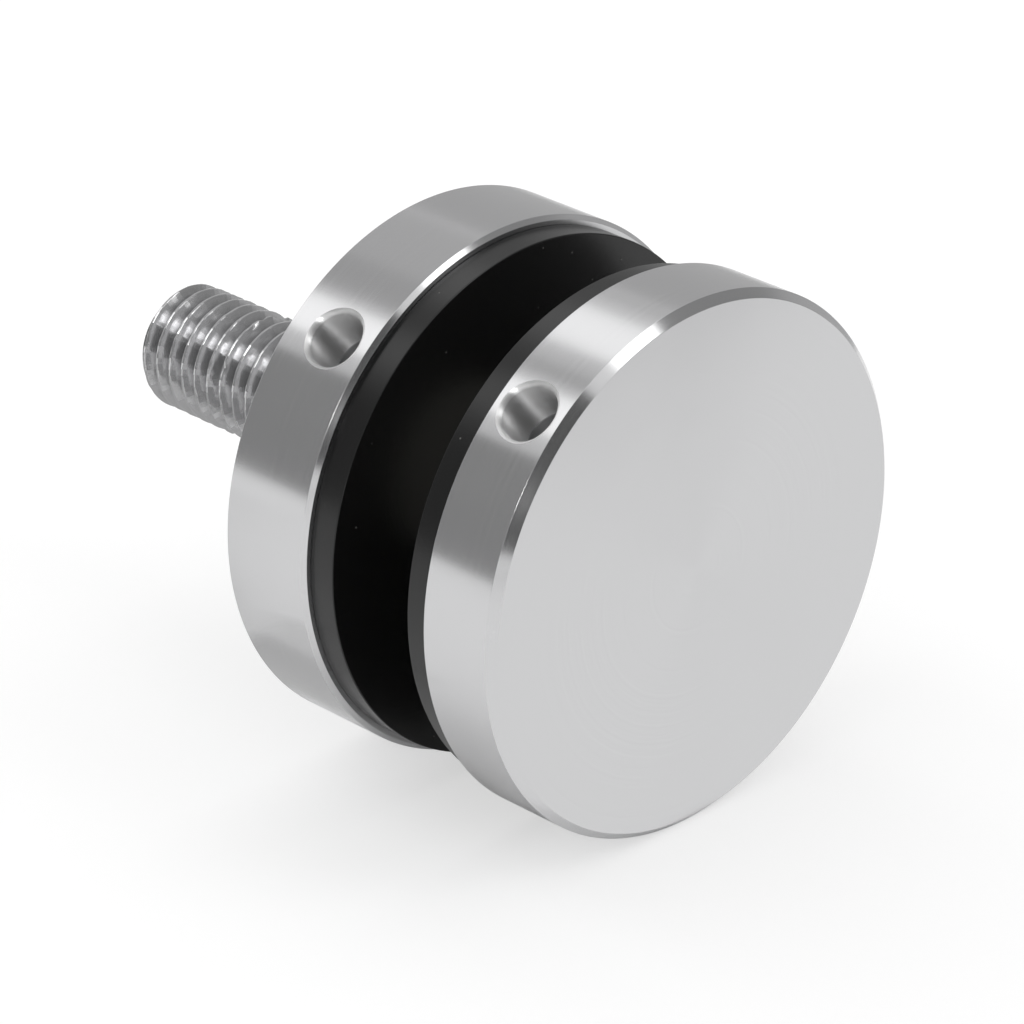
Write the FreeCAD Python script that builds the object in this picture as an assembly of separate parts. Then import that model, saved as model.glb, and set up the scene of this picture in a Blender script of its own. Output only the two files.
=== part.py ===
import FreeCAD, Part
import math
import os

os.makedirs("parts", exist_ok=True)

# Glass standoff: turned steel discs on a threaded stud hold a glass panel between rubber gaskets.
# Units are millimetres. +Y runs along the stud from the front cap towards the wall, +Z is up.
# The origin is on the stud's axis, in the plane of the base disc's wall face.

# Discs, both turned from the same round bar
disc_diameter = 50.0
cap_thickness = 8.1
base_thickness = 9.8
cap_front_chamfer = 0.75
base_front_chamfer = 0.4
back_edge_break = 0.15

# Gaskets, alike at front and rear, cut from rubber sheet, with a hole that goes over the sleeve
gasket_diameter = 48.3
gasket_thickness = 2.75
gasket_hole_clearance = 0.3

# Slot for the glass, how far the cap still closes, and what the closed cap leaves free
glass_slot = 9.15
closing_travel = 1.15
closed_gap = 0.1

# Thread, M12 x 1.75, drawn at its outer diameter on the stud and a little wider in the tapped holes
thread_diameter = 12.0
thread_pitch = 1.75
thread_depth_to_pitch = 0.6134
thread_clearance = 0.05
tapped_mouth_chamfer = 0.6

# Stud, and the steel left between its blind hole in the cap and the front face
stud_behind_base = 34.1
cap_web = 1.4

# Sleeve that keeps the glass and the gaskets centred on the stud
sleeve_wall = 1.8
sleeve_clearance = 0.2
sleeve_edge_break = 0.3

# Holes in the disc rims for a tommy bar, both drilled at the same distance from the disc's front face.
# Each tilt, from +Z towards -X, is how far round its disc is screwed on the stud.
bar_diameter = 5.0
bar_clearance = 0.1
bar_hole_depth = 5.0
bar_hole_edge_break = 0.4
bar_drill_point_angle = 118.0
bar_drill_tip_radius = 0.02
cap_bar_hole_tilt = 40.7
base_bar_hole_tilt = 42.4
bar_hole_from_front = (cap_front_chamfer + cap_thickness) / 2

# Radii
disc_r = disc_diameter / 2
gasket_r = gasket_diameter / 2
stud_r = thread_diameter / 2
tapped_r = stud_r + thread_clearance
sleeve_in_r = stud_r + sleeve_clearance
sleeve_out_r = sleeve_in_r + sleeve_wall
gasket_hole_r = sleeve_out_r + gasket_hole_clearance
bar_hole_r = bar_diameter / 2 + bar_clearance

# Stations along Y, from the wall face forwards
base_front_y = -base_thickness
rear_gasket_front_y = base_front_y - gasket_thickness
front_gasket_back_y = rear_gasket_front_y - glass_slot
cap_back_y = front_gasket_back_y - gasket_thickness
cap_front_y = cap_back_y - cap_thickness
cap_hole_end_y = cap_front_y + cap_web
stud_front_y = cap_hole_end_y + closing_travel + closed_gap
sleeve_front_y = cap_back_y + closing_travel + closed_gap
stud_back_y = stud_behind_base


def turned(profile):
    """Solid of revolution about the Y axis from (radius, y) points."""
    points = [FreeCAD.Vector(r, y, 0) for r, y in profile]
    face = Part.Face(Part.makePolygon(points + points[:1]))
    return face.revolve(FreeCAD.Vector(0, 0, 0), FreeCAD.Vector(0, 1, 0), 360)


def bar_hole(disc_front_y, tilt):
    """Drilled hole for the tommy bar, square to the stud, with a drill point and a broken edge."""
    angle = math.radians(tilt)
    out = FreeCAD.Vector(-math.sin(angle), 0, math.cos(angle))
    centre = FreeCAD.Vector(0, disc_front_y + bar_hole_from_front, 0)
    floor_r = disc_r - bar_hole_depth
    clear_r = disc_r + bar_diameter / 2
    drill = Part.makeCylinder(bar_hole_r, clear_r - floor_r, centre + out * floor_r, out)
    slope = math.tan(math.radians(bar_drill_point_angle / 2))
    tip_depth = (bar_hole_r - bar_drill_tip_radius) / slope
    tip_start = centre + out * (floor_r - tip_depth)
    tip = Part.makeCone(bar_drill_tip_radius, bar_hole_r, tip_depth, tip_start, out)
    edge_start = disc_r - bar_hole_edge_break
    edge_depth = clear_r - edge_start
    edge = Part.makeCone(bar_hole_r, bar_hole_r + edge_depth, edge_depth, centre + out * edge_start, out)
    return drill.fuse([tip, edge]).removeSplitter()


# Front cap: turned disc, chamfered in front, with a blind tapped hole behind and a bar hole in its rim
def make_front_cap():
    profile = [
        (0, cap_front_y),
        (disc_r - cap_front_chamfer, cap_front_y),
        (disc_r, cap_front_y + cap_front_chamfer),
        (disc_r, cap_back_y - back_edge_break),
        (disc_r - back_edge_break, cap_back_y),
        (tapped_r + tapped_mouth_chamfer, cap_back_y),
        (tapped_r, cap_back_y - tapped_mouth_chamfer),
        (tapped_r, cap_hole_end_y),
        (0, cap_hole_end_y),
    ]
    return turned(profile).cut(bar_hole(cap_front_y, cap_bar_hole_tilt))


# Gasket: flat rubber ring, slightly smaller than the disc that it lies on
def make_gasket(front_y):
    back_y = front_y + gasket_thickness
    return turned([
        (gasket_hole_r, front_y),
        (gasket_r, front_y),
        (gasket_r, back_y),
        (gasket_hole_r, back_y),
    ])


# Glass sleeve: plastic tube round the stud that stands on the base disc and passes through both gaskets
# and the hole in the glass
def make_glass_sleeve():
    return turned([
        (sleeve_in_r, sleeve_front_y),
        (sleeve_out_r - sleeve_edge_break, sleeve_front_y),
        (sleeve_out_r, sleeve_front_y + sleeve_edge_break),
        (sleeve_out_r, base_front_y - sleeve_edge_break),
        (sleeve_out_r - sleeve_edge_break, base_front_y),
        (sleeve_in_r, base_front_y),
    ])


# Base disc: turned disc tapped right through, with a small front chamfer and its own bar hole
def make_base_disc():
    profile = [
        (tapped_r + tapped_mouth_chamfer, base_front_y),
        (disc_r - base_front_chamfer, base_front_y),
        (disc_r, base_front_y + base_front_chamfer),
        (disc_r, -back_edge_break),
        (disc_r - back_edge_break, 0),
        (tapped_r + tapped_mouth_chamfer, 0),
        (tapped_r, -tapped_mouth_chamfer),
        (tapped_r, base_front_y + tapped_mouth_chamfer),
    ]
    return turned(profile).cut(bar_hole(base_front_y, base_bar_hole_tilt))


# Threaded stud: a length of threaded rod, both ends chamfered down to the root of the thread
def make_threaded_stud():
    end_chamfer = thread_depth_to_pitch * thread_pitch
    return turned([
        (0, stud_front_y),
        (stud_r - end_chamfer, stud_front_y),
        (stud_r, stud_front_y + end_chamfer),
        (stud_r, stud_back_y - end_chamfer),
        (stud_r - end_chamfer, stud_back_y),
        (0, stud_back_y),
    ])


nodes = {
    "front_cap": make_front_cap(),
    "front_gasket": make_gasket(cap_back_y),
    "glass_sleeve": make_glass_sleeve(),
    "rear_gasket": make_gasket(rear_gasket_front_y),
    "base_disc": make_base_disc(),
    "threaded_stud": make_threaded_stud(),
}
for name, shape in nodes.items():
    shape.Solids[0].exportStep("parts/" + name + ".step")
    box = shape.BoundBox
    print(name, len(shape.Solids), "solid, Y", round(box.YMin, 2), "to", round(box.YMax, 2))
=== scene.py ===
import math
from collections import namedtuple

import bpy
from mathutils import Matrix, Vector


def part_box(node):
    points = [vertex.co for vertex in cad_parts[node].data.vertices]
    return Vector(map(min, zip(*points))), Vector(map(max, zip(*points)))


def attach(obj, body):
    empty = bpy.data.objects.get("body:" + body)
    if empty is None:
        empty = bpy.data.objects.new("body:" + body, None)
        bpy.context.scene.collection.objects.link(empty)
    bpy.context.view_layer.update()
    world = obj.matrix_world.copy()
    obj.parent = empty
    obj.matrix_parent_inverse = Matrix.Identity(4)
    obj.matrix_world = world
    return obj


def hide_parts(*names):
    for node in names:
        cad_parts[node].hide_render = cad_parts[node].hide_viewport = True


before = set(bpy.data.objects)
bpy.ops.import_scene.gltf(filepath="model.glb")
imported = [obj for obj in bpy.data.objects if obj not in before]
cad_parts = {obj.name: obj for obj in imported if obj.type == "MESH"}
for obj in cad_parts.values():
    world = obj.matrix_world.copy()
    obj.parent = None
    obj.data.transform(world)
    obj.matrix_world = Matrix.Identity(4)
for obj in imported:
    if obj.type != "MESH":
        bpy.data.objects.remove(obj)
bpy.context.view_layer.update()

# Threaded stud: 64 mm of M12 x 1.75 threaded rod in stainless steel, right-hand, with its thread rolled.
# The cap screws on its front end, the base disc on its middle, and its back end goes into the wall or
# post. Both ends are chamfered down to the root of the thread.
MM = 0.001
pitch = 1.75 * MM
stud_front, stud_back = (corner.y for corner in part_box("threaded_stud"))
grip_mark_behind_base = 23.0 * MM


def linear(hex_colour):
    """An sRGB hex colour as linear RGBA."""
    parts = [int(hex_colour[i:i + 2], 16) / 255 for i in (1, 3, 5)]
    return [c / 12.92 if c <= 0.04045 else ((c + 0.055) / 1.055) ** 2.4 for c in parts] + [1.0]


def add(tree, kind, inputs=None, out=0, **settings):
    """Adds a node with its settings, input values and links, and returns one of its outputs."""
    node = tree.nodes.new(kind)
    for name, value in settings.items():
        setattr(node, name, value)
    for name, value in (inputs or {}).items():
        if isinstance(value, bpy.types.NodeSocket):
            tree.links.new(value, node.inputs[name])
        else:
            node.inputs[name].default_value = value
    return node.outputs[out] if node.outputs else None


def finish(name):
    """A new material with an empty node tree."""
    material = bpy.data.materials.new(name)
    material.use_nodes = True
    material.node_tree.nodes.clear()
    return material, material.node_tree


# Rolled stainless thread: the rolling burnishes it, so its crests glint and its flanks show bands of
# light and dark. Its colour is darker and its roughness higher towards the roots, in blotches. A
# pattern's scale is how often it repeats in a metre.
# Inputs 6 and 7 of a colour mix are its two colours, and output 2 is the mixed one.
darker_below, lighter_above = 4.95 * MM, 5.95 * MM
thread_steel, tree = finish("stainless_steel_rolled_thread")
place = add(tree, "ShaderNodeTexCoord", out="Object")
flat = add(tree, "ShaderNodeVectorMath", {0: place, 1: (1, 0, 1)}, operation="MULTIPLY")
radius = add(tree, "ShaderNodeVectorMath", {0: flat}, out="Value", operation="LENGTH")
height = add(tree, "ShaderNodeMapRange", {
    "Value": radius, "From Min": darker_below, "From Max": lighter_above})
blotches = add(tree, "ShaderNodeTexNoise", {"Vector": place, "Scale": 1.2 / MM, "Detail": 4.0})
crest_share = add(tree, "ShaderNodeMath", {0: blotches, 1: 0.9, 2: height}, operation="MULTIPLY_ADD")
crest_share = add(tree, "ShaderNodeMapRange", {"Value": crest_share, "From Min": 0.4, "From Max": 1.2})
# Darker towards the roots of the thread, and in blotches.
colour = add(tree, "ShaderNodeMix", {"Factor": crest_share, 6: linear("#a2a2a3"), 7: linear("#c9c9ca")},
             out=2, data_type="RGBA")
gloss = add(tree, "ShaderNodeMapRange", {"Value": crest_share, "To Min": 0.26, "To Max": 0.15})
relief = add(tree, "ShaderNodeBump", {"Height": blotches, "Strength": 0.2, "Distance": 0.012 * MM})
metal = add(tree, "ShaderNodeBsdfPrincipled", {
    "Base Color": colour, "Metallic": 1.0, "Roughness": gloss, "Normal": relief})
add(tree, "ShaderNodeOutputMaterial", {"Surface": metal})

# The thread is a grid wrapped round the stud. Its rows follow the helix, and its radius comes from how
# far each row is from the nearest crest. A grip has marked the crests all round at one place.
thread_sizes = {
    "Pitch": pitch,
    "Outer Radius": 6.0 * MM,
    "Thread Depth": 0.6134 * pitch,
    "Crest Width": pitch / 8,
    "Flank Slope": math.tan(math.radians(60)),
    "Crest Rounding": 0.07 * MM,
    "Root Rounding": 0.2 * MM,
    "Crest Wear": 0.06 * MM,
    "Grip Mark Depth": 0.42 * MM,
    "Grip Mark Width": 1.0 * MM,
    "Grip Mark Place": grip_mark_behind_base - stud_front,
    "Wear Scale": 0.8 / MM,
    "Wear Seed": 7.0,
    "Wear Starts": 0.48,
    "Wear Full": 0.62,
    "Front": stud_front,
    "Length": stud_back - stud_front,
    "Steps per Turn": 64,
    "Rows per Pitch": 32,
    "Seam Reach": 0.001 * MM,
    "Steel": thread_steel,
}
socket_kinds = {float: "NodeSocketFloat", int: "NodeSocketInt", bpy.types.Material: "NodeSocketMaterial"}
rolling = bpy.data.node_groups.new("rolled_thread", "GeometryNodeTree")
sockets = {}
for name, value in thread_sizes.items():
    socket = rolling.interface.new_socket(name, in_out="INPUT", socket_type=socket_kinds[type(value)])
    sockets[name] = socket.identifier
rolling.interface.new_socket("Stud", in_out="OUTPUT", socket_type="NodeSocketGeometry")
given = rolling.nodes.new("NodeGroupInput").outputs

turns = add(rolling, "ShaderNodeMath", {0: given["Length"], 1: given["Pitch"]}, operation="DIVIDE")
turns = add(rolling, "ShaderNodeMath", {0: turns}, operation="CEIL")
turns = add(rolling, "ShaderNodeMath", {0: turns, 1: 1.0}, operation="ADD")
tall = add(rolling, "ShaderNodeMath", {0: turns, 1: given["Pitch"]}, operation="MULTIPLY")
columns = add(rolling, "ShaderNodeMath", {0: given["Steps per Turn"], 1: 1.0}, operation="ADD")
rows = add(rolling, "ShaderNodeMath", {0: turns, 1: given["Rows per Pitch"], 2: 1.0},
           operation="MULTIPLY_ADD")
grid = add(rolling, "GeometryNodeMeshGrid", {
    "Size X": 1.0, "Size Y": tall, "Vertices X": columns, "Vertices Y": rows})
spot = rolling.nodes.new("ShaderNodeSeparateXYZ")
rolling.links.new(add(rolling, "GeometryNodeInputPosition"), spot.inputs[0])
turn = add(rolling, "ShaderNodeMath", {0: spot.outputs["X"], 1: 0.5}, operation="ADD")
angle = add(rolling, "ShaderNodeMath", {0: turn, 1: math.tau}, operation="MULTIPLY")
climb = add(rolling, "ShaderNodeMath", {0: tall, 1: 0.5, 2: spot.outputs["Y"]}, operation="MULTIPLY_ADD")
reach = add(rolling, "ShaderNodeMath", {0: turn, 1: given["Pitch"], 2: climb}, operation="MULTIPLY_ADD")
reach = add(rolling, "ShaderNodeMath", {0: reach, 1: given["Pitch"]}, operation="SUBTRACT")
reach = add(rolling, "ShaderNodeClamp", {"Value": reach, "Max": given["Length"]})
forward = add(rolling, "ShaderNodeCombineXYZ", {"Y": reach})
sine = add(rolling, "ShaderNodeMath", {0: angle}, operation="SINE")
cosine = add(rolling, "ShaderNodeMath", {0: angle}, operation="COSINE")
outward = add(rolling, "ShaderNodeCombineXYZ", {"X": sine, "Z": cosine})

half_pitch = add(rolling, "ShaderNodeMath", {0: given["Pitch"], 1: 0.5}, operation="MULTIPLY")
off_crest = add(rolling, "ShaderNodeMath", {0: climb, 1: half_pitch}, operation="PINGPONG")
off_edge = add(rolling, "ShaderNodeMath", {0: given["Crest Width"], 1: -0.5, 2: off_crest},
               operation="MULTIPLY_ADD")
flank = add(rolling, "ShaderNodeMath", {0: off_edge, 1: given["Flank Slope"]}, operation="MULTIPLY")
drop = add(rolling, "ShaderNodeMath", {0: flank, 1: 0.0, 2: given["Crest Rounding"]},
           operation="SMOOTH_MAX")
drop = add(rolling, "ShaderNodeMath", {0: drop, 1: given["Thread Depth"], 2: given["Root Rounding"]},
           operation="SMOOTH_MIN")

on_rod = add(rolling, "ShaderNodeVectorMath", {0: outward, "Scale": given["Outer Radius"]},
             operation="SCALE")
on_rod = add(rolling, "ShaderNodeVectorMath", {0: on_rod, 1: forward}, operation="ADD")
knocks = add(rolling, "ShaderNodeTexNoise", {
    "Vector": on_rod, "W": given["Wear Seed"], "Scale": given["Wear Scale"], "Detail": 2.0},
    noise_dimensions="4D")
from_mark = add(rolling, "ShaderNodeMath", {0: reach, 1: given["Grip Mark Place"]}, operation="SUBTRACT")
from_mark = add(rolling, "ShaderNodeMath", {0: from_mark}, operation="ABSOLUTE")
knock_depth = add(rolling, "ShaderNodeMapRange", {
    "Value": from_mark, "From Max": given["Grip Mark Width"], "To Min": given["Grip Mark Depth"],
    "To Max": given["Crest Wear"]})
worn = add(rolling, "ShaderNodeMapRange", {
    "Value": knocks, "From Min": given["Wear Starts"], "From Max": given["Wear Full"],
    "To Max": knock_depth})
worn = add(rolling, "ShaderNodeMapRange", {
    "Value": drop, "From Max": given["Thread Depth"], "To Min": worn, "To Max": 0.0})

profile = add(rolling, "ShaderNodeMath", {0: given["Outer Radius"], 1: drop}, operation="SUBTRACT")
profile = add(rolling, "ShaderNodeMath", {0: profile, 1: worn}, operation="SUBTRACT")
root = add(rolling, "ShaderNodeMath", {0: given["Outer Radius"], 1: given["Thread Depth"]},
           operation="SUBTRACT")
half_length = add(rolling, "ShaderNodeMath", {0: given["Length"], 1: 0.5}, operation="MULTIPLY")
chamfer = add(rolling, "ShaderNodeMath", {0: reach, 1: half_length}, operation="PINGPONG")
chamfer = add(rolling, "ShaderNodeMath", {0: root, 1: chamfer}, operation="ADD")
profile = add(rolling, "ShaderNodeMath", {0: profile, 1: chamfer}, operation="MINIMUM")
wrapped = add(rolling, "ShaderNodeVectorMath", {0: outward, "Scale": profile}, operation="SCALE")
wrapped = add(rolling, "ShaderNodeVectorMath", {0: wrapped, 1: forward}, operation="ADD")

shell = rolling.nodes.new("GeometryNodeJoinGeometry")
thread_skin = add(rolling, "GeometryNodeSetPosition", {"Geometry": grid, "Position": wrapped})
rolling.links.new(thread_skin, shell.inputs[0])
back_end = add(rolling, "ShaderNodeCombineXYZ", {"Y": given["Length"]})
for end, quarter_turn in (((0, 0, 0), 90), (back_end, -90)):
    disc = add(rolling, "GeometryNodeMeshCircle", {
        "Vertices": given["Steps per Turn"], "Radius": root}, fill_type="TRIANGLE_FAN")
    disc = add(rolling, "GeometryNodeSetShadeSmooth", {"Geometry": disc, "Shade Smooth": False})
    disc = add(rolling, "GeometryNodeTransform", {
        "Geometry": disc, "Translation": end, "Rotation": (math.radians(quarter_turn), 0, 0)})
    rolling.links.new(disc, shell.inputs[0])
closed_stud = add(rolling, "GeometryNodeMergeByDistance", {
    "Geometry": shell.outputs[0], "Distance": given["Seam Reach"]})
set_back = add(rolling, "ShaderNodeCombineXYZ", {"Y": given["Front"]})
closed_stud = add(rolling, "GeometryNodeTransform", {"Geometry": closed_stud, "Translation": set_back})
closed_stud = add(rolling, "GeometryNodeRealizeInstances", {"Geometry": closed_stud})
closed_stud = add(rolling, "GeometryNodeSetMaterial", {
    "Geometry": closed_stud, "Material": given["Steel"]})
rolling.links.new(closed_stud, rolling.nodes.new("NodeGroupOutput").inputs[0])

blank = bpy.data.objects.new("stud_blank", bpy.data.meshes.new("stud_blank"))
bpy.context.scene.collection.objects.link(blank)
rolled = blank.modifiers.new("rolled_thread", "NODES")
rolled.node_group = rolling
for name, value in thread_sizes.items():
    rolled[sockets[name]] = value
depsgraph = bpy.context.evaluated_depsgraph_get()
stud_mesh = bpy.data.meshes.new_from_object(blank.evaluated_get(depsgraph), depsgraph=depsgraph)
bpy.data.objects.remove(blank)
stud = bpy.data.objects.new("rolled_threaded_stud", stud_mesh)
bpy.context.scene.collection.objects.link(stud)
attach(stud, "stud")
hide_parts("threaded_stud")

# Base disc: turned from 50 mm stainless bar and tapped right through, so that it screws along the stud.
# A hole drilled into its rim takes a tommy bar that turns it. The profiles of turned pieces are in
# millimetres, as (radius, station along Y, edge rounding), with the material on their left.
disc_r = 25.0
edge_round = 0.06
tapped_r = 6.05
tapped_mouth = 0.6
back_break = 0.15
bar_hole_r = 2.6
bar_hole_break = 0.4
bar_hole_depth = 5.0
bar_hole_from_front = 4.425
drill_point = math.radians(118.0 / 2)
break_start, break_end = math.radians(20), math.radians(70)

# How finely the turned pieces are divided. The patch is the part of the rim round a bar hole's mouth. Its
# columns are counted to each side of the hole, and its rings crowd towards the mouth. The cone is the
# floor that the drill point leaves, with rings at these shares of its depth.
SEGMENTS = 360
ROUNDING_STEPS = 4
PATCH_COLUMNS = 13
PATCH_ROWS = 14
PATCH_RINGS = 10
PATCH_CROWDING = 0.7
BREAK_STEPS = 4
WALL_STEPS = 7
CONE_SHARES = (0.35, 0.7)

# A place on a turned profile, with the surface's normals before and after it.
Station = namedtuple("Station", "radius y before after")


def spun(radius, y, angle):
    """A point or direction of the (radius, y) plane, turned by angle about Y from +Z towards -X."""
    return Vector((-radius * math.sin(angle), y, radius * math.cos(angle)))


def stations(corners, closed):
    """The stations of a profile, with its corners rounded."""
    spots = [Vector(corner[:2]) for corner in corners]
    last = len(spots) - 1
    found = []
    for i, spot in enumerate(spots):
        into = (spot - spots[i - 1]).normalized() if closed or i > 0 else None
        onward = (spots[(i + 1) % len(spots)] - spot).normalized() if closed or i < last else None
        before = Vector((into.y, -into.x)) if into else None
        after = Vector((onward.y, -onward.x)) if onward else None
        rounding = corners[i][2]
        if not into or not onward or rounding == 0:
            found.append(Station(spot.x, spot.y, before or after, after or before))
            continue
        turn = math.atan2(into.cross(onward), into.dot(onward))
        side = math.copysign(rounding, turn)
        centre = spot - into * rounding * math.tan(abs(turn) / 2) - before * side
        bearing = math.atan2(before.y, before.x)
        for step in range(ROUNDING_STEPS + 1):
            heading = bearing + turn * step / ROUNDING_STEPS
            normal = Vector((math.cos(heading), math.sin(heading)))
            found.append(Station(*(centre + normal * side), normal, normal))
    return found


class Skin:
    """The points and faces of one closed surface, with its true normal at each corner of each face.

    Points keep how deep they lie in a bar hole, and faces whether they are drilled.
    """

    def __init__(self):
        self.points, self.depths, self.faces, self.normals, self.drilled = [], [], [], [], []
        self.in_hole = False

    def point(self, place, depth=0.0):
        self.points.append(place * MM)
        self.depths.append(depth * MM)
        return len(self.points) - 1

    def face(self, *corners):
        """corners are (point, normal). A corner that repeats a point is dropped, as at a pole."""
        kept = [c for i, c in enumerate(corners) if c[0] != corners[i - 1][0]]
        a, b, c = (self.points[corner[0]] for corner in kept[:3])
        if (b - a).cross(c - a).dot(kept[0][1]) < 0:
            kept.reverse()
        self.faces.append([point for point, normal in kept])
        self.normals.extend(normal for point, normal in kept)
        self.drilled.append(self.in_hole)

    def strip(self, ring, next_ring, normals, next_normals):
        """A closed band of faces between two rings of points."""
        for j in range(len(ring)):
            self.face((ring[j - 1], normals[j - 1]), (next_ring[j - 1], next_normals[j - 1]),
                      (next_ring[j], next_normals[j]), (ring[j], normals[j]))

    def piece(self, name, *materials):
        mesh = bpy.data.meshes.new(name)
        mesh.from_pydata(self.points, [], self.faces)
        for material in materials:
            mesh.materials.append(material)
        if len(materials) > 1:
            mesh.polygons.foreach_set("material_index", [int(drilled) for drilled in self.drilled])
            mesh.attributes.new("hole_depth", "FLOAT", "POINT").data.foreach_set("value", self.depths)
        mesh.shade_smooth()
        mesh.normals_split_custom_set([tuple(normal) for normal in self.normals])
        made = bpy.data.objects.new(name, mesh)
        bpy.context.scene.collection.objects.link(made)
        return made


def turned(name, corners, materials, closed=True, hole=None):
    """A lathe-turned piece. A profile that isn't closed starts and ends on the axis.

    hole is (station, angle) of the bar hole in its rim, where it has one. The rim's front station is the
    first of the two that lie furthest out.
    """
    skin = Skin()
    line = stations(corners, closed)
    hole_y, start = hole or (None, 0.0)
    if hole:
        rim = max(range(len(line) - 1),
                  key=lambda i: (min(line[i].radius, line[i + 1].radius), line[i + 1].y))
        front = line[rim]
        step = (line[rim + 1].y - front.y) / PATCH_ROWS
        line[rim + 1:rim + 1] = [Station(disc_r, front.y + step * k, front.after, front.after)
                                 for k in range(1, PATCH_ROWS)]
    angles = [start + math.tau * j / SEGMENTS for j in range(SEGMENTS)]
    rings = []
    for station in line:
        if station.radius == 0:
            rings.append([skin.point(Vector((0, station.y, 0)))] * SEGMENTS)
        else:
            rings.append([skin.point(spun(station.radius, station.y, angle)) for angle in angles])
    for i in range(len(line) if closed else len(line) - 1):
        k = (i + 1) % len(line)
        in_rim = hole and rim <= i < rim + PATCH_ROWS
        for j in range(SEGMENTS):
            m = (j + 1) % SEGMENTS
            if in_rim and (j < PATCH_COLUMNS or j >= SEGMENTS - PATCH_COLUMNS):
                continue
            near = [spun(*line[i].after, angles[n]) for n in (j, m)]
            far = [spun(*line[k].before, angles[n]) for n in (j, m)]
            skin.face((rings[i][j], near[0]), (rings[k][j], far[0]),
                      (rings[k][m], far[1]), (rings[i][m], near[1]))
    if hole:
        rows = slice(rim, rim + PATCH_ROWS + 1)
        drill(skin, rings[rows], [station.y - hole_y for station in line[rows]], hole_y, start)
    return skin.piece(name, *materials)


def drill(skin, rows, row_y, hole_y, angle):
    """The bar hole: the rim round its mouth, its broken edge, its wall and its drill point."""
    across = range(-PATCH_COLUMNS, PATCH_COLUMNS + 1)
    up = range(1, PATCH_ROWS)
    edge = [(0, j) for j in across] + [(i, PATCH_COLUMNS) for i in up]
    edge += [(PATCH_ROWS, j) for j in reversed(across)] + [(i, -PATCH_COLUMNS) for i in reversed(up)]
    out, along, centre = spun(1, 0, angle), spun(1, 0, angle + math.pi / 2), Vector((0, hole_y, 0))

    def on_rim(t, v):
        """Point on the rim, t across and v along from the hole's centre, and the rim's normal there."""
        normal = (along * t + out * math.sqrt(disc_r ** 2 - t ** 2)) / disc_r
        return normal * disc_r + Vector((0, hole_y + v, 0)), normal

    def round_hole(radius, heights):
        """A ring of points round the hole's axis, at the given heights above the stud's axis."""
        return [skin.point(centre + spoke * radius + out * height, disc_r - height)
                for spoke, height in zip(spokes, heights)]

    spots = [(disc_r * math.sin(math.tau * j / SEGMENTS), row_y[i]) for i, j in edge]
    bearings = [math.atan2(v, t) for t, v in spots]
    spokes = [along * math.cos(b) + Vector((0, math.sin(b), 0)) for b in bearings]
    mouth_r = bar_hole_r + bar_hole_break
    ring = [rows[i][j] for i, j in edge]
    normals = [on_rim(t, v)[1] for t, v in spots]
    for step in range(1, PATCH_RINGS + 1):
        share = (step / PATCH_RINGS) ** PATCH_CROWDING
        placed = [on_rim(t + (mouth_r * math.cos(b) - t) * share, v + (mouth_r * math.sin(b) - v) * share)
                  for (t, v), b in zip(spots, bearings)]
        inner = [skin.point(place) for place, normal in placed]
        inner_normals = [normal for place, normal in placed]
        skin.strip(ring, inner, normals, inner_normals)
        ring, normals = inner, inner_normals

    skin.in_hole = True
    mouth = [skin.points[point].dot(out) / MM for point in ring]
    bulge = bar_hole_break / (math.cos(break_start) - math.cos(break_end))
    normals = [out * math.cos(break_start) - spoke * math.sin(break_start) for spoke in spokes]
    for step in range(1, BREAK_STEPS + 1):
        lean = break_start + (break_end - break_start) * step / BREAK_STEPS
        inset = bulge * (math.sin(lean) - math.sin(break_start))
        sunk = bulge * (math.cos(break_start) - math.cos(lean))
        lower = round_hole(mouth_r - inset, [height - sunk for height in mouth])
        lower_normals = [out * math.cos(lean) - spoke * math.sin(lean) for spoke in spokes]
        skin.strip(ring, lower, normals, lower_normals)
        ring, normals = lower, lower_normals
    wall = [-spoke for spoke in spokes]
    floor_r = disc_r - bar_hole_depth
    for step in range(1, WALL_STEPS + 1):
        share = step / WALL_STEPS
        tops = [height - bar_hole_break for height in mouth]
        lower = round_hole(bar_hole_r, [top + (floor_r - top) * share for top in tops])
        skin.strip(ring, lower, wall, wall)
        ring = lower
    cone = [out * math.sin(drill_point) - spoke * math.cos(drill_point) for spoke in spokes]
    tip_depth = bar_hole_r / math.tan(drill_point)
    for share in CONE_SHARES:
        lower = round_hole(bar_hole_r * (1 - share), [floor_r - tip_depth * share] * len(spokes))
        skin.strip(ring, lower, cone, cone)
        ring = lower
    tip = skin.point(centre + out * (floor_r - tip_depth), bar_hole_depth + tip_depth)
    skin.strip(ring, [tip] * len(ring), cone, cone)


# Fine-turned stainless steel, as it leaves the lathe: the eye sees a bright satin metal with close rings,
# sharp reflections round the rim and smeared ones across the rings. The feed is about 0.1 mm a turn.
# That is too fine to show, so the rings are drawn 0.3 mm apart on the faces, and wider on the rim.
ring_pitch = 0.3 * MM
rim_feed = 0.7
turned_steel, tree = finish("stainless_steel_fine_turned")
place = add(tree, "ShaderNodeTexCoord", out="Object")
flat = add(tree, "ShaderNodeVectorMath", {0: place, 1: (1, 0, 1)}, operation="MULTIPLY")
radius = add(tree, "ShaderNodeVectorMath", {0: flat}, out="Value", operation="LENGTH")
station = add(tree, "ShaderNodeSeparateXYZ", {0: place}, out="Y")
feed = add(tree, "ShaderNodeMath", {0: station, 1: rim_feed, 2: radius}, operation="MULTIPLY_ADD")
rings = add(tree, "ShaderNodeTexNoise", {"W": feed, "Scale": 1 / ring_pitch, "Detail": 3.0},
            noise_dimensions="1D")
smudge = add(tree, "ShaderNodeTexNoise", {"Vector": place, "Scale": 0.11 / MM, "Detail": 4.0})
ring_gloss = add(tree, "ShaderNodeMapRange", {
    "Value": rings, "From Min": 0.3, "From Max": 0.7, "To Min": 0.182, "To Max": 0.2})
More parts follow.
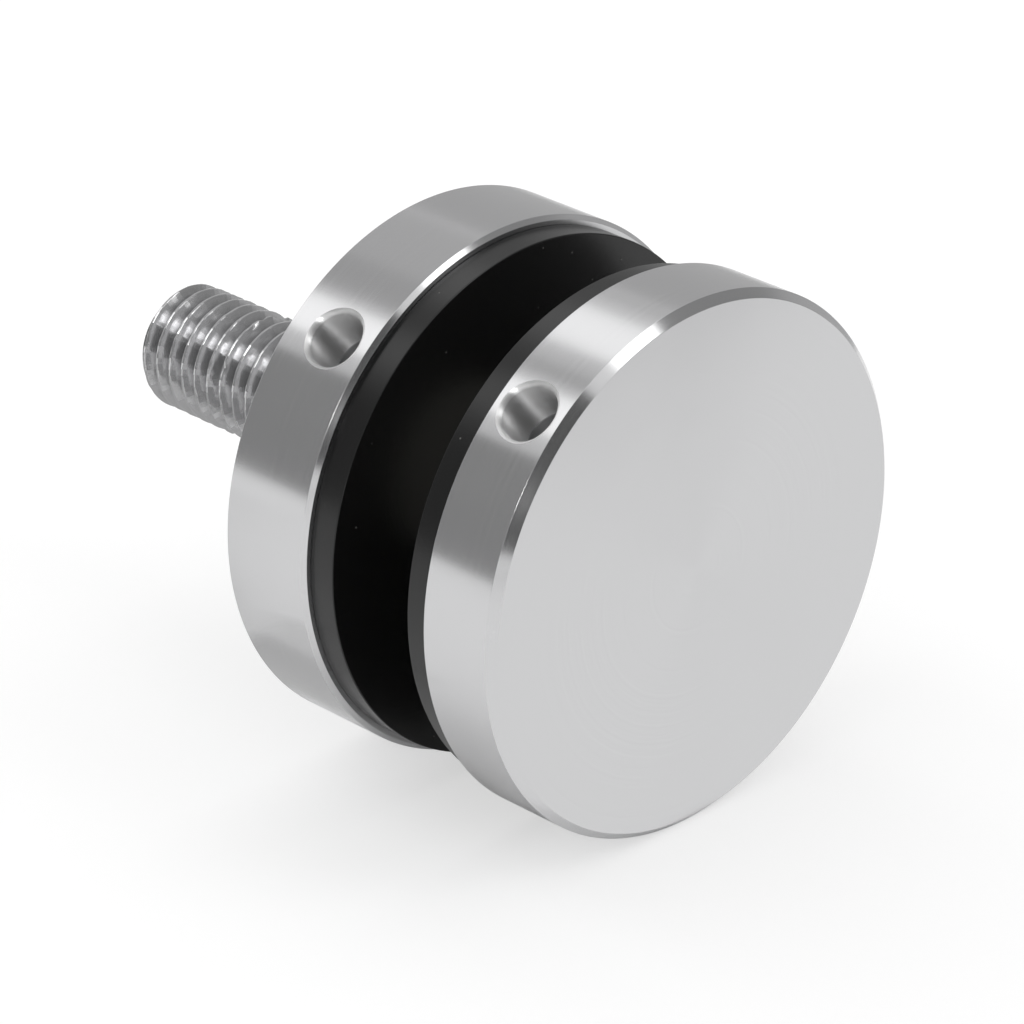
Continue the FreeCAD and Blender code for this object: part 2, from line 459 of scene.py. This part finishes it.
smudge_gloss = add(tree, "ShaderNodeMapRange", {
    "Value": smudge, "From Min": 0.3, "From Max": 0.7, "To Min": -0.01, "To Max": 0.015})
gloss = add(tree, "ShaderNodeMath", {0: ring_gloss, 1: smudge_gloss}, operation="ADD")
tone = add(tree, "ShaderNodeMapRange", {
    "Value": rings, "From Min": 0.25, "From Max": 0.75, "To Min": 0.99, "To Max": 1.01})
colour = add(tree, "ShaderNodeVectorMath", {0: linear("#c8c8c9")[:3], "Scale": tone}, operation="SCALE")
relief = add(tree, "ShaderNodeBump", {"Height": rings, "Strength": 0.05, "Distance": 0.004 * MM})
groove = add(tree, "ShaderNodeTangent", direction_type="RADIAL", axis="Y")
metal = add(tree, "ShaderNodeBsdfPrincipled", {
    "Base Color": colour, "Metallic": 1.0, "Roughness": gloss, "Anisotropic": 0.8,
    "Anisotropic Rotation": 0.25, "Normal": relief, "Tangent": groove})
add(tree, "ShaderNodeOutputMaterial", {"Surface": metal})

# Drilled stainless steel, in the bar holes: the drill's lips leave fine rings round the wall, so a bright
# streak runs straight down it. The hand-broken edge is a little smoother and the drill point's floor is
# dull, and both are mottled. The floor is also darker in colour, as painted shade at the bottom of the
# hole. Scoring is coarser than the real feed, so that it shows.
score_pitch = 0.25 * MM
edge_fade = [(bar_hole_break + past) * MM for past in (-0.05, 0.2)]
floor_fade = [(bar_hole_depth + past) * MM for past in (-0.1, 0.05)]
drilled_steel, tree = finish("stainless_steel_drilled")
place = add(tree, "ShaderNodeTexCoord", out="Object")
flat = add(tree, "ShaderNodeVectorMath", {0: place, 1: (1, 0, 1)}, operation="MULTIPLY")
down_hole = add(tree, "ShaderNodeVectorTransform", {0: flat}, vector_type="VECTOR",
                convert_from="OBJECT", convert_to="WORLD")
depth = add(tree, "ShaderNodeAttribute", out="Fac", attribute_name="hole_depth")
scored = add(tree, "ShaderNodeTexNoise", {"W": depth, "Scale": 1 / score_pitch, "Detail": 2.0},
             noise_dimensions="1D")
mottle = add(tree, "ShaderNodeTexNoise", {"Vector": place, "Scale": 1.5 / MM, "Detail": 3.0})
at_edge = add(tree, "ShaderNodeMapRange", {
    "Value": depth, "From Min": edge_fade[0], "From Max": edge_fade[1], "To Min": 1.0, "To Max": 0.0})
at_floor = add(tree, "ShaderNodeMapRange", {
    "Value": depth, "From Min": floor_fade[0], "From Max": floor_fade[1], "To Max": 1.0})
mottled = add(tree, "ShaderNodeMath", {0: at_edge, 1: at_floor}, operation="MAXIMUM")
marks = add(tree, "ShaderNodeMath", {0: mottle, 1: mottled, 2: scored}, operation="MULTIPLY_ADD")
relief = add(tree, "ShaderNodeBump", {"Height": marks, "Strength": 0.06, "Distance": 0.01 * MM})
gloss = add(tree, "ShaderNodeMapRange", {"Value": at_edge, "To Min": 0.46, "To Max": 0.34})
gloss = add(tree, "ShaderNodeMath", {0: at_floor, 1: 0.5, 2: gloss}, operation="MULTIPLY_ADD")
patchy = add(tree, "ShaderNodeMapRange", {
    "Value": mottle, "From Min": 0.35, "From Max": 0.65, "To Min": -0.02, "To Max": 0.03})
gloss = add(tree, "ShaderNodeMath", {0: gloss, 1: patchy}, operation="ADD")
# The floor's darker colour is painted shade at the bottom of the hole.
colour = add(tree, "ShaderNodeMix", {"Factor": at_floor, 6: linear("#dedede"), 7: linear("#8c8c8d")},
             out=2, data_type="RGBA")
metal = add(tree, "ShaderNodeBsdfPrincipled", {
    "Base Color": colour, "Metallic": 1.0, "Roughness": gloss, "Anisotropic": 1.0, "Normal": relief,
    "Tangent": down_hole})
add(tree, "ShaderNodeOutputMaterial", {"Surface": metal})

base_front, base_back = (corner.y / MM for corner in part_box("base_disc"))
base_chamfer = 0.4
base_hole_angle = math.radians(42.4)
base = turned("turned_base_disc", [
    (tapped_r + tapped_mouth, base_front, edge_round),
    (disc_r - base_chamfer, base_front, edge_round),
    (disc_r, base_front + base_chamfer, edge_round),
    (disc_r, base_back - back_break, edge_round),
    (disc_r - back_break, base_back, edge_round),
    (tapped_r + tapped_mouth, base_back, edge_round),
    (tapped_r, base_back - tapped_mouth, 0),
    (tapped_r, base_front + tapped_mouth, 0),
], (turned_steel, drilled_steel), hole=(base_front + bar_hole_from_front, base_hole_angle))
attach(base, "base_disc")
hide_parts("base_disc")

# Gaskets: rings cut from black EPDM rubber sheet, one behind the cap and one on the base disc. They lie
# on the steel, grip the glass between them, and go over the sleeve with their holes.
gasket_r = 24.15
gasket_hole_r = 8.3
gasket_edge = 0.12

# EPDM rubber: nearly black, with a soft sheen at a low angle, a fine grain and a few specks of dust.
fleck_spacing = 2.2 * MM
fleck_r = 0.11 * MM
rubber, tree = finish("epdm_rubber_sheet")
place = add(tree, "ShaderNodeTexCoord", out="Object")
grain = add(tree, "ShaderNodeTexNoise", {"Vector": place, "Scale": 4.0 / MM, "Detail": 3.0})
relief = add(tree, "ShaderNodeBump", {"Height": grain, "Strength": 0.2, "Distance": 0.02 * MM})
from_fleck = add(tree, "ShaderNodeTexVoronoi", {"Vector": place, "Scale": 1 / fleck_spacing},
                 out="Distance")
fleck = add(tree, "ShaderNodeMapRange", {
    "Value": from_fleck, "From Max": fleck_r / fleck_spacing, "To Min": 1.0, "To Max": 0.0})
tone = add(tree, "ShaderNodeMix", {"Factor": grain, 6: linear("#0f0f0f"), 7: linear("#161616")},
           out=2, data_type="RGBA")
tone = add(tree, "ShaderNodeMix", {"Factor": fleck, 6: tone, 7: linear("#82817e")},
           out=2, data_type="RGBA")
gum = add(tree, "ShaderNodeBsdfPrincipled", {
    "Base Color": tone, "Roughness": 0.25, "IOR": 1.44, "Normal": relief})
add(tree, "ShaderNodeOutputMaterial", {"Surface": gum})

for node in ("front_gasket", "rear_gasket"):
    front, back = (corner.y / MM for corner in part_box(node))
    gasket = turned("rubber_" + node, [
        (gasket_hole_r, front, gasket_edge),
        (gasket_r, front, gasket_edge),
        (gasket_r, back, gasket_edge),
        (gasket_hole_r, back, gasket_edge),
    ], (rubber,))
    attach(gasket, node)
    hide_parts(node)

# Glass sleeve: a moulded tube of natural nylon round the stud. It stands on the base disc, and passes
# through both gaskets and the hole in the glass, so that the glass never touches steel.
sleeve_front, sleeve_back = (corner.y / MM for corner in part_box("glass_sleeve"))
sleeve_in_r = 6.2
sleeve_out_r = 8.0
sleeve_edge = 0.3
sleeve_round = 0.1

# Natural nylon: a milky off-white plastic with a low sheen, a little uneven from the mould.
nylon, tree = finish("natural_nylon_moulded")
place = add(tree, "ShaderNodeTexCoord", out="Object")
flow = add(tree, "ShaderNodeTexNoise", {"Vector": place, "Scale": 0.3 / MM, "Detail": 2.0})
tint = add(tree, "ShaderNodeMix", {"Factor": flow, 6: linear("#dcd9cf"), 7: linear("#e6e4dc")},
           out=2, data_type="RGBA")
gloss = add(tree, "ShaderNodeMapRange", {"Value": flow, "To Min": 0.36, "To Max": 0.46})
plastic = add(tree, "ShaderNodeBsdfPrincipled", {"Base Color": tint, "Roughness": gloss})
add(tree, "ShaderNodeOutputMaterial", {"Surface": plastic})

sleeve = turned("nylon_glass_sleeve", [
    (sleeve_in_r, sleeve_front, sleeve_round),
    (sleeve_out_r - sleeve_edge, sleeve_front, sleeve_round),
    (sleeve_out_r, sleeve_front + sleeve_edge, sleeve_round),
    (sleeve_out_r, sleeve_back - sleeve_edge, sleeve_round),
    (sleeve_out_r - sleeve_edge, sleeve_back, sleeve_round),
    (sleeve_in_r, sleeve_back, sleeve_round),
], (nylon,))
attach(sleeve, "stud")
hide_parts("glass_sleeve")

# Front cap: turned from the same bar, with a chamfered front edge. Its back is tapped for the stud, and
# its own bar hole is drilled into its rim.
cap_front, cap_back = (corner.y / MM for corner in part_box("front_cap"))
cap_chamfer = 0.75
cap_web = 1.4
cap_hole_angle = math.radians(40.7)
cap = turned("turned_front_cap", [
    (0, cap_front, 0),
    (disc_r - cap_chamfer, cap_front, edge_round),
    (disc_r, cap_front + cap_chamfer, edge_round),
    (disc_r, cap_back - back_break, edge_round),
    (disc_r - back_break, cap_back, edge_round),
    (tapped_r + tapped_mouth, cap_back, edge_round),
    (tapped_r, cap_back - tapped_mouth, 0),
    (tapped_r, cap_front + cap_web, 0),
    (0, cap_front + cap_web, 0),
], (turned_steel, drilled_steel), closed=False, hole=(cap_front + bar_hole_from_front, cap_hole_angle))
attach(cap, "front_cap")
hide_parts("front_cap")

# Camera: at the photograph's angle, from the front left and above, through a long lens about 0.44 m
# away. Its place and lens were solved from the outlines of the discs and the stud.
camera_data = bpy.data.cameras.new("camera")
camera_data.sensor_width = 36.0
camera_data.lens = 170.98
camera_data.clip_end = 100.0
camera = bpy.data.objects.new("camera", camera_data)
bpy.context.scene.collection.objects.link(camera)
camera.location = Vector((-273.47, -284.01, 190.15)) * MM
camera.rotation_mode = "QUATERNION"
camera.rotation_quaternion = Vector((0.63243, 0.63370, -0.44548)).to_track_quat("-Z", "Y")
bpy.context.scene.camera = camera

# White room and table: both are plain white to the camera and in the steel, and light the object at an
# even, plain level. The table keeps a soft shadow under the object.
bpy.context.scene.view_settings.view_transform = "Standard"
skylight = 0.72
table_reach = 6.0
table_z = -disc_r * MM
world = bpy.data.worlds.new("white_room")
bpy.context.scene.world = world
world.use_nodes = True
tree = world.node_tree
tree.nodes.clear()
ray = tree.nodes.new("ShaderNodeLightPath").outputs
mirrored = add(tree, "ShaderNodeMath", {0: ray["Is Glossy Ray"], 1: ray["Is Transmission Ray"]},
               operation="MAXIMUM")
seen = add(tree, "ShaderNodeMath", {0: ray["Is Camera Ray"], 1: mirrored}, operation="MAXIMUM")
level = add(tree, "ShaderNodeMapRange", {"Value": seen, "To Min": skylight, "To Max": 1.0})
sky = add(tree, "ShaderNodeBackground", {"Color": (1, 1, 1, 1), "Strength": level})
add(tree, "ShaderNodeOutputWorld", {"Surface": sky})


def board(name, corners, material):
    """A flat piece of the studio with these corners, in metres."""
    mesh = bpy.data.meshes.new(name)
    mesh.from_pydata(corners, [], [range(len(corners))])
    mesh.materials.append(material)
    made = bpy.data.objects.new(name, mesh)
    bpy.context.scene.collection.objects.link(made)
    return made


def lying(left, front, right, back, z):
    """Corners of a level rectangle."""
    return [Vector((x, y, z)) for x, y in ((left, front), (right, front), (right, back), (left, back))]


# White card sheet, matt: plain white to the camera, apart from the object's shadow, and in the steel.
paper_in_steel = (1.15, 1.15, 1.15, 1.0)
paper_to_camera = (0.5, 0.5, 0.5, 1.0)
paper_glow = 0.56
paper, tree = finish("white_card_sheet")
ray = tree.nodes.new("ShaderNodeLightPath").outputs
mirrored = add(tree, "ShaderNodeMath", {0: ray["Is Glossy Ray"], 1: ray["Is Transmission Ray"]},
               operation="MAXIMUM")
white = add(tree, "ShaderNodeMix", {"Factor": mirrored, 6: linear("#e4e4e4"), 7: paper_in_steel},
            out=2, data_type="RGBA")
white = add(tree, "ShaderNodeMix", {"Factor": ray["Is Camera Ray"], 6: white, 7: paper_to_camera},
            out=2, data_type="RGBA")
sheet = add(tree, "ShaderNodeBsdfDiffuse", {"Color": white})
level = add(tree, "ShaderNodeMath", {0: ray["Is Camera Ray"], 1: paper_glow}, operation="MULTIPLY")
glow = add(tree, "ShaderNodeEmission", {"Strength": level})
sheet = add(tree, "ShaderNodeAddShader", {0: sheet, 1: glow})
add(tree, "ShaderNodeOutputMaterial", {"Surface": sheet})
board("table", lying(-table_reach, -table_reach, table_reach, table_reach, table_z), paper)

# Cards: only reflections see them. They give the steel its grey and dark bands. The strips run along the
# stud, so their edges cross the rims squarely. The white card lies in front of the cap's face, and the
# dark one's corners are where the cap's chamfer mirrors the ends of its dark band.
on_table = table_z + 0.1 * MM


def card(name, corners, level):
    """A card at an even level of brightness, where 1 is white."""
    tone, tree = finish(name)
    glow = add(tree, "ShaderNodeEmission", {"Strength": level})
    add(tree, "ShaderNodeOutputMaterial", {"Surface": glow})
    made = board(name, corners, tone)
    made.visible_camera = False
    made.visible_diffuse = False
    made.visible_shadow = False


def beside(x, start, end, top):
    """Corners of an upright rectangle along Y that stands on the table."""
    return [Vector((x, y, z)) for y, z in ((start, table_z), (end, table_z), (end, top), (start, top))]


def above(near, first, last, start, end):
    """Corners of a strip along Y, near metres from the stud, between two angles from +Z towards +X."""
    middle = math.radians(first + last) / 2
    half = near * math.tan(math.radians(first - last) / 2)
    out = Vector((math.sin(middle), 0, math.cos(middle))) * near
    side = Vector((math.cos(middle), 0, -math.sin(middle))) * half
    return [out + side * s + Vector((0, y, 0)) for s, y in ((-1, start), (1, start), (1, end), (-1, end))]


def facing(direction, near, width, height):
    """Corners of a rectangle near metres away in a direction, square to it, with level edges."""
    out = Vector(direction).normalized()
    side = out.cross(Vector((0, 0, 1))).normalized() * width / 2
    up = side.cross(out).normalized() * height / 2
    return [out * near + side - up, out * near - side - up, out * near - side + up, out * near + side + up]


card("grey_card_right", beside(x=0.16, start=-0.05, end=1.1, top=0.187), level=0.54)
card("grey_card_above_right", above(near=0.95, first=42, last=8, start=0.0, end=2.2), level=0.6)
card("grey_card_above", above(near=0.95, first=8, last=-48, start=0.0, end=2.2), level=0.5)
card("dark_card_left", beside(x=-0.6, start=-0.05, end=1.5, top=0.7), level=0.325)
across_chamfer = ((-0.111, -0.181, 0.404), (0.018, -0.393, 0.203),
                  (-0.173, -0.407, -0.001), (-0.399, -0.202, 0.095))
card("dark_card_front", [Vector(corner) for corner in across_chamfer], level=0.11)
card("grey_card_front_right", beside(x=0.5, start=-0.9, end=0.1, top=1.0), level=0.33)
card("white_card_front", lying(left=-0.08, front=-0.5, right=0.45, back=-0.0335, z=on_table), level=1.05)
card("grey_card_far_front", lying(left=0.03, front=-0.8, right=0.6, back=-0.125, z=on_table + 0.1 * MM),
     level=0.42)
# The two cards under the base disc are painted shadow: they put the object's shadow on the table into the
# rims' reflections, darker near the disc with a paler edge beyond it.
card("painted_shadow_under_base", lying(left=-0.027, front=-0.004, right=-0.014, back=0.0125, z=on_table),
     level=0.6)
card("painted_shadow_edge_under_base", lying(left=-0.037, front=-0.004, right=-0.027, back=0.0125, z=on_table),
     level=0.8)
# Painted shadow under the stud, where the table lies in the object's shade, for the reflections in the
# thread and the base disc.
under_stud = ((-0.035, 0.022), (-0.011, 0.006), (0.03, 0.006), (0.03, 0.12), (-0.13, 0.12))
card("painted_shadow_under_stud", [Vector((x, y, on_table)) for x, y in under_stud], level=0.52)

# Softboxes: two long ones above the stud, each brighter in the middle, one in front for the glint on the
# chamfers, one at the front left for the streaks down the bar holes, and one over the stud for the glints
# in its thread. Screens keep some of them off pieces that they would make too bright.


def softbox(name, corners, level):
    """A rectangular lamp with these corners. The level adds to what stands behind it."""
    a, b, c = corners[:3]
    lamp = bpy.data.lights.new(name, "AREA")
    lamp.shape = "RECTANGLE"
    lamp.size, lamp.size_y = (b - a).length, (c - b).length
    lamp.energy = level * math.pi * lamp.size * lamp.size_y
    made = bpy.data.objects.new(name, lamp)
    bpy.context.scene.collection.objects.link(made)
    x, y = (b - a).normalized(), (c - b).normalized()
    facing_in = Matrix((x, y, x.cross(y))).transposed().to_4x4()
    made.matrix_world = Matrix.Translation((a + c) / 2) @ facing_in
    made.visible_camera = False
    return made


def screened(lamp, state, *pieces):
    """Makes a lamp light only these pieces (INCLUDE) or all but these (EXCLUDE)."""
    listed = bpy.data.collections.new(lamp.name + "_pieces")
    lamp.light_linking.receiver_collection = listed
    for piece in pieces:
        listed.objects.link(piece)
    for linked in listed.collection_objects:
        linked.light_linking.link_state = state


long_strip = {"near": 0.7, "start": 0.0, "end": 1.7}
softbox("softbox_left", above(first=-10, last=-41.5, **long_strip), level=0.28)
softbox("softbox_left_core", above(first=-14.5, last=-31.5, **long_strip), level=0.78)
softbox("softbox_front", facing((0.25, -0.62, 0.74), near=0.55, width=0.17, height=0.24), level=2.0)
in_holes = softbox("softbox_front_left", facing((-0.768, -0.4, 0.5), near=0.6, width=0.1, height=0.1),
                   level=18.0)
screened(in_holes, "INCLUDE", base, cap)
over_stud = softbox("softbox_over_stud", above(near=0.65, first=-24, last=-42, start=0.12, end=0.42),
                    level=3.0)
screened(over_stud, "INCLUDE", stud)
right = softbox("softbox_right", above(first=36.5, last=-3.5, **long_strip), level=0.22)
right_core = softbox("softbox_right_core", above(first=28.5, last=6, **long_strip), level=0.62)
for lamp in (right, right_core):
    screened(lamp, "EXCLUDE", base, stud)
